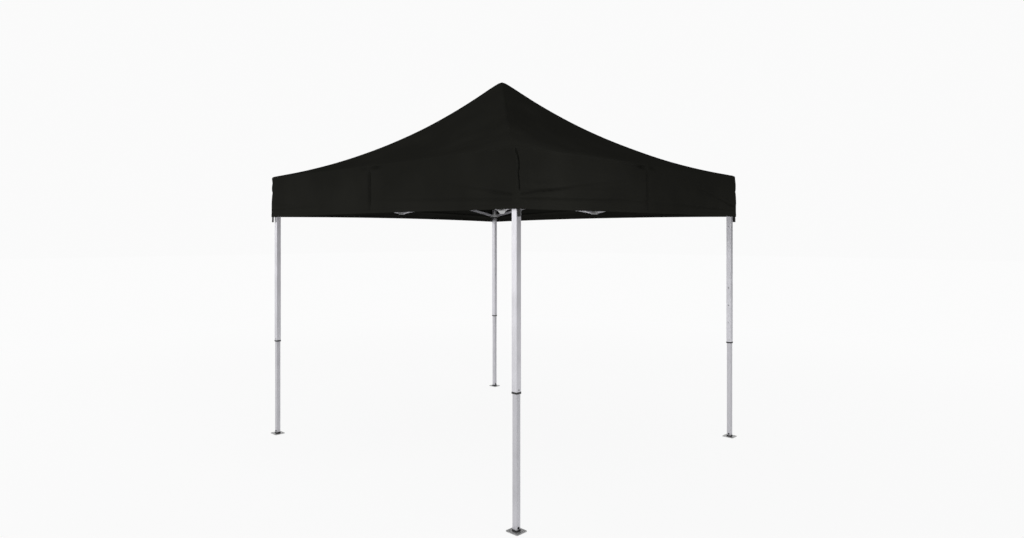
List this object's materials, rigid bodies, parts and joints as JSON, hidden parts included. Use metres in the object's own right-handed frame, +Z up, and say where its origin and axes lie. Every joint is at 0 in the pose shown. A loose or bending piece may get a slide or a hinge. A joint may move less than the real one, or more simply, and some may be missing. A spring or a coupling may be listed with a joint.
{
  "type": "pop up gazebo",
  "caption": "Square pop up gazebo with a peaked cloth canopy and valances on telescopic legs, folded by scissor trusses round a telescopic mast.",
  "frame": {"origin": "centre of the square of feet, on the ground", "axes": "+Z up along the mast; the sides of the square run along X and Y"},
  "size_m": [3.017, 3.017, 3.223],
  "materials": {
    "leg_tube": "satin anodised",
    "truss_bar": "satin anodised",
    "mast_tube": "satin anodised",
    "bracket": "moulded glass-filled nylon",
    "foot_plate": "zinc plated",
    "button": "zinc plated",
    "canopy": "coated polyester, matt"
  },
  "bodies": {
    "crown": {"crown_hub": "bracket", "canopy": "canopy"},
    "crown_bar_front_right": {"crown_bar_front_right": "truss_bar"},
    "mast_bar_front_right": {"mast_bar_front_right": "truss_bar"},
    "lower_mid_bracket_front_right": {"lower_mid_bracket_front_right": "bracket"},
    "upper_mid_bracket_front_right": {"upper_mid_bracket_front_right": "bracket"},
    "top_bar_front_to_right": {"top_bar_front_to_right": "truss_bar"},
    "slider_bar_front_to_right": {"slider_bar_front_to_right": "truss_bar"},
    "top_bar_right_to_front": {"top_bar_right_to_front": "truss_bar"},
    "slider_bar_right_to_front": {"slider_bar_right_to_front": "truss_bar"},
    "slider_front": {"slider_front": "bracket"},
    "leg_front": {"outer_leg_front": "leg_tube"},
    "lower_hub": {"lower_hub": "bracket"},
    "crown_bar_back_right": {"crown_bar_back_right": "truss_bar"},
    "mast_bar_back_right": {"mast_bar_back_right": "truss_bar"},
    "lower_mid_bracket_back_right": {"lower_mid_bracket_back_right": "bracket"},
    "upper_mid_bracket_back_right": {"upper_mid_bracket_back_right": "bracket"},
    "top_bar_right_to_back": {"top_bar_right_to_back": "truss_bar"},
    "slider_bar_right_to_back": {"slider_bar_right_to_back": "truss_bar"},
    "top_bar_back_to_right": {"top_bar_back_to_right": "truss_bar"},
    "slider_bar_back_to_right": {"slider_bar_back_to_right": "truss_bar"},
    "slider_right": {"slider_right": "bracket"},
    "leg_right": {"outer_leg_right": "leg_tube"},
    "crown_bar_back_left": {"crown_bar_back_left": "truss_bar"},
    "mast_bar_back_left": {"mast_bar_back_left": "truss_bar"},
    "lower_mid_bracket_back_left": {"lower_mid_bracket_back_left": "bracket"},
    "upper_mid_bracket_back_left": {"upper_mid_bracket_back_left": "bracket"},
    "top_bar_back_to_left": {"top_bar_back_to_left": "truss_bar"},
    "slider_bar_back_to_left": {"slider_bar_back_to_left": "truss_bar"},
    "top_bar_left_to_back": {"top_bar_left_to_back": "truss_bar"},
    "slider_bar_left_to_back": {"slider_bar_left_to_back": "truss_bar"},
    "slider_back": {"slider_back": "bracket"},
    "leg_back": {"outer_leg_back": "leg_tube"},
    "crown_bar_front_left": {"crown_bar_front_left": "truss_bar"},
    "mast_bar_front_left": {"mast_bar_front_left": "truss_bar"},
    "lower_mid_bracket_front_left": {"lower_mid_bracket_front_left": "bracket"},
    "upper_mid_bracket_front_left": {"upper_mid_bracket_front_left": "bracket"},
    "top_bar_left_to_front": {"top_bar_left_to_front": "truss_bar"},
    "slider_bar_left_to_front": {"slider_bar_left_to_front": "truss_bar"},
    "top_bar_front_to_left": {"top_bar_front_to_left": "truss_bar"},
    "slider_bar_front_to_left": {"slider_bar_front_to_left": "truss_bar"},
    "slider_left": {"slider_left": "bracket"},
    "leg_left": {"outer_leg_left": "leg_tube"},
    "mast_top": {"mast_top": "mast_tube"},
    "inner_leg_front": {"inner_leg_front": "leg_tube", "foot_front": "foot_plate"},
    "leg_button_front": {"leg_button_front": "button"},
    "slider_lock_front": {"slider_lock_front": "button"},
    "inner_leg_right": {"inner_leg_right": "leg_tube", "foot_right": "foot_plate"},
    "leg_button_right": {"leg_button_right": "button"},
    "slider_lock_right": {"slider_lock_right": "button"},
    "inner_leg_back": {"inner_leg_back": "leg_tube", "foot_back": "foot_plate"},
    "leg_button_back": {"leg_button_back": "button"},
    "slider_lock_back": {"slider_lock_back": "button"},
    "inner_leg_left": {"inner_leg_left": "leg_tube", "foot_left": "foot_plate"},
    "leg_button_left": {"leg_button_left": "button"},
    "slider_lock_left": {"slider_lock_left": "button"}
  },
  "joints": [
    {"name": "fold", "type": "hinge", "parent": "crown", "child": "crown_bar_front_right", "pos_m": [0.00725, -0.03795, 2.318], "axis": [1, 0, 0], "range_deg": [0, 75]},
    {"name": "mast_bar_front_right_at_centre", "type": "hinge", "parent": "crown_bar_front_right", "child": "mast_bar_front_right", "pos_m": [0, -0.73145, 2.193], "axis": [1, 0, 0], "range_deg": [-151, 1]},
    {"name": "lower_mid_bracket_front_right_pin", "type": "hinge", "parent": "crown_bar_front_right", "child": "lower_mid_bracket_front_right", "pos_m": [0.00725, -1.42495, 2.068], "axis": [1, 0, 0], "range_deg": [-75.5, 0.5]},
    {"name": "upper_mid_bracket_front_right_pin", "type": "hinge", "parent": "mast_bar_front_right", "child": "upper_mid_bracket_front_right", "pos_m": [-0.00725, -1.42495, 2.318], "axis": [1, 0, 0], "range_deg": [-0.5, 75.5]},
    {"name": "lower_hub_pin", "type": "hinge", "parent": "mast_bar_front_right", "child": "lower_hub", "pos_m": [-0.00725, -0.03795, 2.068], "axis": [1, 0, 0], "range_deg": [-0.5, 75.5]},
    {"name": "top_bar_front_to_right_pin", "type": "hinge", "parent": "lower_mid_bracket_front_right", "child": "top_bar_front_to_right", "pos_m": [-0.024, -1.45275, 2.068], "axis": [0, 1, 0], "range_deg": [-0.5, 75.5]},
    {"name": "slider_bar_front_to_right_at_centre", "type": "hinge", "parent": "top_bar_front_to_right", "child": "slider_bar_front_to_right", "pos_m": [-0.7175, -1.46, 2.193], "axis": [0, 1, 0], "range_deg": [-151, 1]},
    {"name": "leg_front_top_pin", "type": "hinge", "parent": "top_bar_front_to_right", "child": "leg_front", "pos_m": [-1.411, -1.45275, 2.318], "axis": [0, 1, 0], "range_deg": [-75.5, 0.5]},
    {"name": "slider_front_pin", "type": "hinge", "parent": "slider_bar_front_to_right", "child": "slider_front", "pos_m": [-1.411, -1.46725, 2.068], "axis": [0, 1, 0], "range_deg": [-0.5, 75.5]},
    {"name": "top_bar_right_to_front_pin", "type": "hinge", "parent": "lower_mid_bracket_front_right", "child": "top_bar_right_to_front", "pos_m": [0.024, -1.45275, 2.068], "axis": [0, 1, 0], "range_deg": [-75.5, 0.5]},
    {"name": "slider_bar_right_to_front_at_centre", "type": "hinge", "parent": "top_bar_right_to_front", "child": "slider_bar_right_to_front", "pos_m": [0.7175, -1.46, 2.193], "axis": [0, 1, 0], "range_deg": [-1, 151]},
    {"name": "crown_bar_back_right_at_crown", "type": "hinge", "parent": "crown", "child": "crown_bar_back_right", "pos_m": [0.03795, 0.00725, 2.318], "axis": [0, 1, 0], "range_deg": [-0.5, 75.5]},
    {"name": "mast_bar_back_right_at_centre", "type": "hinge", "parent": "crown_bar_back_right", "child": "mast_bar_back_right", "pos_m": [0.73145, 0, 2.193], "axis": [0, 1, 0], "range_deg": [-151, 1]},
    {"name": "lower_mid_bracket_back_right_pin", "type": "hinge", "parent": "crown_bar_back_right", "child": "lower_mid_bracket_back_right", "pos_m": [1.42495, 0.00725, 2.068], "axis": [0, 1, 0], "range_deg": [-75.5, 0.5]},
    {"name": "upper_mid_bracket_back_right_pin", "type": "hinge", "parent": "mast_bar_back_right", "child": "upper_mid_bracket_back_right", "pos_m": [1.42495, -0.00725, 2.318], "axis": [0, 1, 0], "range_deg": [-0.5, 75.5]},
    {"name": "top_bar_right_to_back_pin", "type": "hinge", "parent": "lower_mid_bracket_back_right", "child": "top_bar_right_to_back", "pos_m": [1.45275, -0.024, 2.068], "axis": [-1, 0, 0], "range_deg": [-0.5, 75.5]},
    {"name": "slider_bar_right_to_back_at_centre", "type": "hinge", "parent": "top_bar_right_to_back", "child": "slider_bar_right_to_back", "pos_m": [1.46, -0.7175, 2.193], "axis": [-1, 0, 0], "range_deg": [-151, 1]},
    {"name": "leg_right_top_pin", "type": "hinge", "parent": "top_bar_right_to_back", "child": "leg_right", "pos_m": [1.45275, -1.411, 2.318], "axis": [-1, 0, 0], "range_deg": [-75.5, 0.5]},
    {"name": "slider_right_pin", "type": "hinge", "parent": "slider_bar_right_to_back", "child": "slider_right", "pos_m": [1.46725, -1.411, 2.068], "axis": [-1, 0, 0], "range_deg": [-0.5, 75.5]},
    {"name": "top_bar_back_to_right_pin", "type": "hinge", "parent": "lower_mid_bracket_back_right", "child": "top_bar_back_to_right", "pos_m": [1.45275, 0.024, 2.068], "axis": [-1, 0, 0], "range_deg": [-75.5, 0.5]},
    {"name": "slider_bar_back_to_right_at_centre", "type": "hinge", "parent": "top_bar_back_to_right", "child": "slider_bar_back_to_right", "pos_m": [1.46, 0.7175, 2.193], "axis": [-1, 0, 0], "range_deg": [-1, 151]},
    {"name": "crown_bar_back_left_at_crown", "type": "hinge", "parent": "crown", "child": "crown_bar_back_left", "pos_m": [-0.00725, 0.03795, 2.318], "axis": [-1, 0, 0], "range_deg": [-0.5, 75.5]},
    {"name": "mast_bar_back_left_at_centre", "type": "hinge", "parent": "crown_bar_back_left", "child": "mast_bar_back_left", "pos_m": [0, 0.73145, 2.193], "axis": [-1, 0, 0], "range_deg": [-151, 1]},
    {"name": "lower_mid_bracket_back_left_pin", "type": "hinge", "parent": "crown_bar_back_left", "child": "lower_mid_bracket_back_left", "pos_m": [-0.00725, 1.42495, 2.068], "axis": [-1, 0, 0], "range_deg": [-75.5, 0.5]},
    {"name": "upper_mid_bracket_back_left_pin", "type": "hinge", "parent": "mast_bar_back_left", "child": "upper_mid_bracket_back_left", "pos_m": [0.00725, 1.42495, 2.318], "axis": [-1, 0, 0], "range_deg": [-0.5, 75.5]},
    {"name": "top_bar_back_to_left_pin", "type": "hinge", "parent": "lower_mid_bracket_back_left", "child": "top_bar_back_to_left", "pos_m": [0.024, 1.45275, 2.068], "axis": [0, -1, 0], "range_deg": [-0.5, 75.5]},
    {"name": "slider_bar_back_to_left_at_centre", "type": "hinge", "parent": "top_bar_back_to_left", "child": "slider_bar_back_to_left", "pos_m": [0.7175, 1.46, 2.193], "axis": [0, -1, 0], "range_deg": [-151, 1]},
    {"name": "leg_back_top_pin", "type": "hinge", "parent": "top_bar_back_to_left", "child": "leg_back", "pos_m": [1.411, 1.45275, 2.318], "axis": [0, -1, 0], "range_deg": [-75.5, 0.5]},
    {"name": "slider_back_pin", "type": "hinge", "parent": "slider_bar_back_to_left", "child": "slider_back", "pos_m": [1.411, 1.46725, 2.068], "axis": [0, -1, 0], "range_deg": [-0.5, 75.5]},
    {"name": "top_bar_left_to_back_pin", "type": "hinge", "parent": "lower_mid_bracket_back_left", "child": "top_bar_left_to_back", "pos_m": [-0.024, 1.45275, 2.068], "axis": [0, -1, 0], "range_deg": [-75.5, 0.5]},
    {"name": "slider_bar_left_to_back_at_centre", "type": "hinge", "parent": "top_bar_left_to_back", "child": "slider_bar_left_to_back", "pos_m": [-0.7175, 1.46, 2.193], "axis": [0, -1, 0], "range_deg": [-1, 151]},
    {"name": "crown_bar_front_left_at_crown", "type": "hinge", "parent": "crown", "child": "crown_bar_front_left", "pos_m": [-0.03795, -0.00725, 2.318], "axis": [0, -1, 0], "range_deg": [-0.5, 75.5]},
    {"name": "mast_bar_front_left_at_centre", "type": "hinge", "parent": "crown_bar_front_left", "child": "mast_bar_front_left", "pos_m": [-0.73145, 0, 2.193], "axis": [0, -1, 0], "range_deg": [-151, 1]},
    {"name": "lower_mid_bracket_front_left_pin", "type": "hinge", "parent": "crown_bar_front_left", "child": "lower_mid_bracket_front_left", "pos_m": [-1.42495, -0.00725, 2.068], "axis": [0, -1, 0], "range_deg": [-75.5, 0.5]},
    {"name": "upper_mid_bracket_front_left_pin", "type": "hinge", "parent": "mast_bar_front_left", "child": "upper_mid_bracket_front_left", "pos_m": [-1.42495, 0.00725, 2.318], "axis": [0, -1, 0], "range_deg": [-0.5, 75.5]},
    {"name": "top_bar_left_to_front_pin", "type": "hinge", "parent": "lower_mid_bracket_front_left", "child": "top_bar_left_to_front", "pos_m": [-1.45275, 0.024, 2.068], "axis": [1, 0, 0], "range_deg": [-0.5, 75.5]},
    {"name": "slider_bar_left_to_front_at_centre", "type": "hinge", "parent": "top_bar_left_to_front", "child": "slider_bar_left_to_front", "pos_m": [-1.46, 0.7175, 2.193], "axis": [1, 0, 0], "range_deg": [-151, 1]},
    {"name": "leg_left_top_pin", "type": "hinge", "parent": "top_bar_left_to_front", "child": "leg_left", "pos_m": [-1.45275, 1.411, 2.318], "axis": [1, 0, 0], "range_deg": [-75.5, 0.5]},
    {"name": "slider_left_pin", "type": "hinge", "parent": "slider_bar_left_to_front", "child": "slider_left", "pos_m": [-1.46725, 1.411, 2.068], "axis": [1, 0, 0], "range_deg": [-0.5, 75.5]},
    {"name": "top_bar_front_to_left_pin", "type": "hinge", "parent": "lower_mid_bracket_front_left", "child": "top_bar_front_to_left", "pos_m": [-1.45275, -0.024, 2.068], "axis": [1, 0, 0], "range_deg": [-75.5, 0.5]},
    {"name": "slider_bar_front_to_left_at_centre", "type": "hinge", "parent": "top_bar_front_to_left", "child": "slider_bar_front_to_left", "pos_m": [-1.46, -0.7175, 2.193], "axis": [1, 0, 0], "range_deg": [-1, 151]},
    {"name": "mast_slide", "type": "slide", "parent": "crown", "child": "mast_top", "axis": [0, 0, 1], "range_m": [-0.77, 0.005]},
    {"name": "leg_slide_front", "type": "slide", "parent": "leg_front", "child": "inner_leg_front", "axis": [0, 0, 1], "range_m": [0, 0.8], "deforming": ["leg_button_front"]},
    {"name": "leg_button_press_front", "type": "slide", "parent": "inner_leg_front", "child": "leg_button_front", "axis": [0, -1, 0], "range_m": [0, 0.0055], "stiffness_N_per_m": 800},
    {"name": "slider_lock_press_front", "type": "slide", "parent": "leg_front", "child": "slider_lock_front", "axis": [0, -1, 0], "range_m": [0, 0.0055], "stiffness_N_per_m": 800},
    {"name": "leg_slide_right", "type": "slide", "parent": "leg_right", "child": "inner_leg_right", "axis": [0, 0, 1], "range_m": [0, 0.8], "deforming": ["leg_button_right"]},
    {"name": "leg_button_press_right", "type": "slide", "parent": "inner_leg_right", "child": "leg_button_right", "axis": [1, 0, 0], "range_m": [0, 0.0055], "stiffness_N_per_m": 800},
    {"name": "slider_lock_press_right", "type": "slide", "parent": "leg_right", "child": "slider_lock_right", "axis": [1, 0, 0], "range_m": [0, 0.0055], "stiffness_N_per_m": 800},
    {"name": "leg_slide_back", "type": "slide", "parent": "leg_back", "child": "inner_leg_back", "axis": [0, 0, 1], "range_m": [0, 0.8], "deforming": ["leg_button_back"]},
    {"name": "leg_button_press_back", "type": "slide", "parent": "inner_leg_back", "child": "leg_button_back", "axis": [0, 1, 0], "range_m": [0, 0.0055], "stiffness_N_per_m": 800},
    {"name": "slider_lock_press_back", "type": "slide", "parent": "leg_back", "child": "slider_lock_back", "axis": [0, 1, 0], "range_m": [0, 0.0055], "stiffness_N_per_m": 800},
    {"name": "leg_slide_left", "type": "slide", "parent": "leg_left", "child": "inner_leg_left", "axis": [0, 0, 1], "range_m": [0, 0.8], "deforming": ["leg_button_left"]},
    {"name": "leg_button_press_left", "type": "slide", "parent": "inner_leg_left", "child": "leg_button_left", "axis": [-1, 0, 0], "range_m": [0, 0.0055], "stiffness_N_per_m": 800},
    {"name": "slider_lock_press_left", "type": "slide", "parent": "leg_left", "child": "slider_lock_left", "axis": [-1, 0, 0], "range_m": [0, 0.0055], "stiffness_N_per_m": 800}
  ],
  "couplings": [
    {"joint": "mast_bar_front_right_at_centre", "follows": "fold", "ratio": -2},
    {"joint": "lower_mid_bracket_front_right_pin", "follows": "fold", "ratio": -1},
    {"joint": "upper_mid_bracket_front_right_pin", "follows": "fold", "ratio": 1},
    {"joint": "lower_hub_pin", "follows": "fold", "ratio": 1},
    {"joint": "top_bar_front_to_right_pin", "follows": "fold", "ratio": 1},
    {"joint": "slider_bar_front_to_right_at_centre", "follows": "fold", "ratio": -2},
    {"joint": "leg_front_top_pin", "follows": "fold", "ratio": -1},
    {"joint": "slider_front_pin", "follows": "fold", "ratio": 1},
    {"joint": "top_bar_right_to_front_pin", "follows": "fold", "ratio": -1},
    {"joint": "slider_bar_right_to_front_at_centre", "follows": "fold", "ratio": 2},
    {"joint": "crown_bar_back_right_at_crown", "follows": "fold", "ratio": 1},
    {"joint": "mast_bar_back_right_at_centre", "follows": "fold", "ratio": -2},
    {"joint": "lower_mid_bracket_back_right_pin", "follows": "fold", "ratio": -1},
    {"joint": "upper_mid_bracket_back_right_pin", "follows": "fold", "ratio": 1},
    {"joint": "top_bar_right_to_back_pin", "follows": "fold", "ratio": 1},
    {"joint": "slider_bar_right_to_back_at_centre", "follows": "fold", "ratio": -2},
    {"joint": "leg_right_top_pin", "follows": "fold", "ratio": -1},
    {"joint": "slider_right_pin", "follows": "fold", "ratio": 1},
    {"joint": "top_bar_back_to_right_pin", "follows": "fold", "ratio": -1},
    {"joint": "slider_bar_back_to_right_at_centre", "follows": "fold", "ratio": 2},
    {"joint": "crown_bar_back_left_at_crown", "follows": "fold", "ratio": 1},
    {"joint": "mast_bar_back_left_at_centre", "follows": "fold", "ratio": -2},
    {"joint": "lower_mid_bracket_back_left_pin", "follows": "fold", "ratio": -1},
    {"joint": "upper_mid_bracket_back_left_pin", "follows": "fold", "ratio": 1},
    {"joint": "top_bar_back_to_left_pin", "follows": "fold", "ratio": 1},
    {"joint": "slider_bar_back_to_left_at_centre", "follows": "fold", "ratio": -2},
    {"joint": "leg_back_top_pin", "follows": "fold", "ratio": -1},
    {"joint": "slider_back_pin", "follows": "fold", "ratio": 1},
    {"joint": "top_bar_left_to_back_pin", "follows": "fold", "ratio": -1},
    {"joint": "slider_bar_left_to_back_at_centre", "follows": "fold", "ratio": 2},
    {"joint": "crown_bar_front_left_at_crown", "follows": "fold", "ratio": 1},
    {"joint": "mast_bar_front_left_at_centre", "follows": "fold", "ratio": -2},
    {"joint": "lower_mid_bracket_front_left_pin", "follows": "fold", "ratio": -1},
    {"joint": "upper_mid_bracket_front_left_pin", "follows": "fold", "ratio": 1},
    {"joint": "top_bar_left_to_front_pin", "follows": "fold", "ratio": 1},
    {"joint": "slider_bar_left_to_front_at_centre", "follows": "fold", "ratio": -2},
    {"joint": "leg_left_top_pin", "follows": "fold", "ratio": -1},
    {"joint": "slider_left_pin", "follows": "fold", "ratio": 1},
    {"joint": "top_bar_front_to_left_pin", "follows": "fold", "ratio": -1},
    {"joint": "slider_bar_front_to_left_at_centre", "follows": "fold", "ratio": 2},
    {"joint": "mast_slide", "follows": "fold", "m_per_rad": -0.58442}
  ]
}
